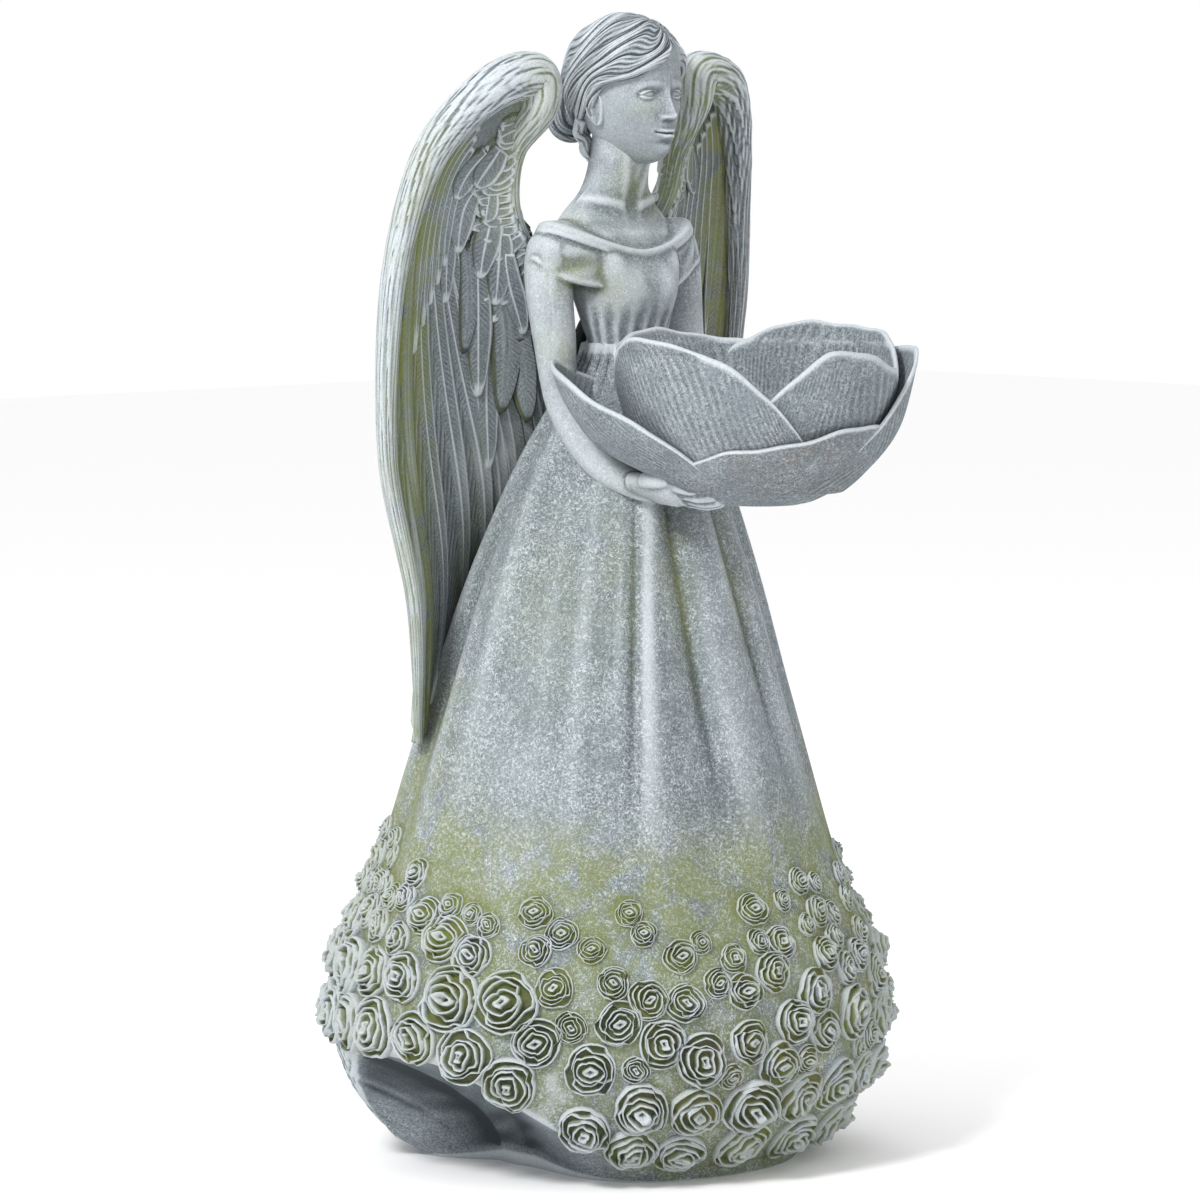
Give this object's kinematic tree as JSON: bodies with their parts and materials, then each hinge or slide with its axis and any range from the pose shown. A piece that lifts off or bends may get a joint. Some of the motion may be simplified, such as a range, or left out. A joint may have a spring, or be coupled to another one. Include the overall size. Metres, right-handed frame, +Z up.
{
  "type": "angel bird feeder statue",
  "caption": "Garden statue of a standing angel with folded wings and a gown hemmed with roses, who holds out an open petal bowl for bird seed.",
  "frame": {"origin": "middle of the flat underside of the base, on the figure's upright axis", "axes": "+Z up the figure, -Y the way the angel faces and holds out the bowl, +X to the angel's left"},
  "size_m": [0.3187, 0.344, 0.6169],
  "materials": {
    "cast_stone": "matte, rough, grey-blue stone look with pale dry-brushed highlights and yellow-green moss tints"
  },
  "bodies": {
    "root": {"angel_bird_feeder": "cast_stone"}
  },
  "joints": []
}
